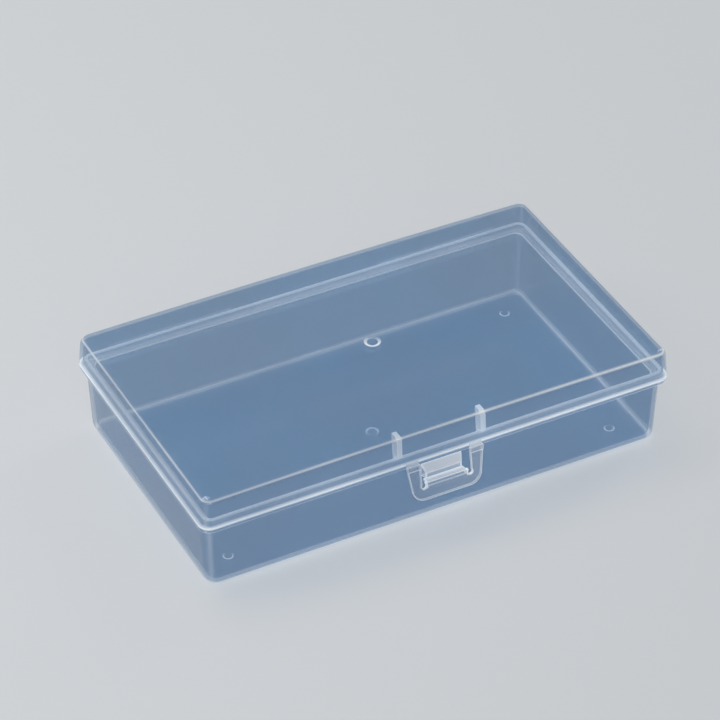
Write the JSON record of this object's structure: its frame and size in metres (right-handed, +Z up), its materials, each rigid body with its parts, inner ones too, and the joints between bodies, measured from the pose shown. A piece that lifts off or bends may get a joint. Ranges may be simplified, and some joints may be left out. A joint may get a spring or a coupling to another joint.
{
  "type": "craft organizer box",
  "caption": "Shallow clear craft organizer box in translucent polypropylene, with a hinged lid over the rim of its tray and a snap latch on the front.",
  "frame": {"origin": "middle of the flat face that the tray rests on", "axes": "+X along the long side, -Y towards the latch at the front, +Z up towards the lid"},
  "size_m": [0.18, 0.1094, 0.0405],
  "materials": {
    "clear_polypropylene": "satin, translucent natural polypropylene"
  },
  "bodies": {
    "tray": {"base_tray": "clear_polypropylene", "front_catch": "clear_polypropylene", "hinge_strap_left": "clear_polypropylene", "hinge_strap_right": "clear_polypropylene"},
    "lid": {"lid_cover": "clear_polypropylene", "latch_rib_left": "clear_polypropylene", "latch_rib_right": "clear_polypropylene", "latch_web_left": "clear_polypropylene", "latch_web_right": "clear_polypropylene"},
    "latch": {"latch_tab": "clear_polypropylene", "latch_tongue": "clear_polypropylene"}
  },
  "joints": [
    {"name": "lid_hinge", "type": "hinge", "parent": "tray", "child": "lid", "pos_m": [0, 0.0528, 0.02855], "axis": [-1, 0, 0], "range_deg": [0, 180], "deforming": ["hinge_strap_left", "hinge_strap_right", "latch_tongue"]},
    {"name": "latch_hinge", "type": "hinge", "parent": "lid", "child": "latch", "pos_m": [0, -0.0531, 0.02845], "axis": [-1, 0, 0], "range_deg": [0, 130], "deforming": ["latch_web_left", "latch_web_right"]}
  ]
}
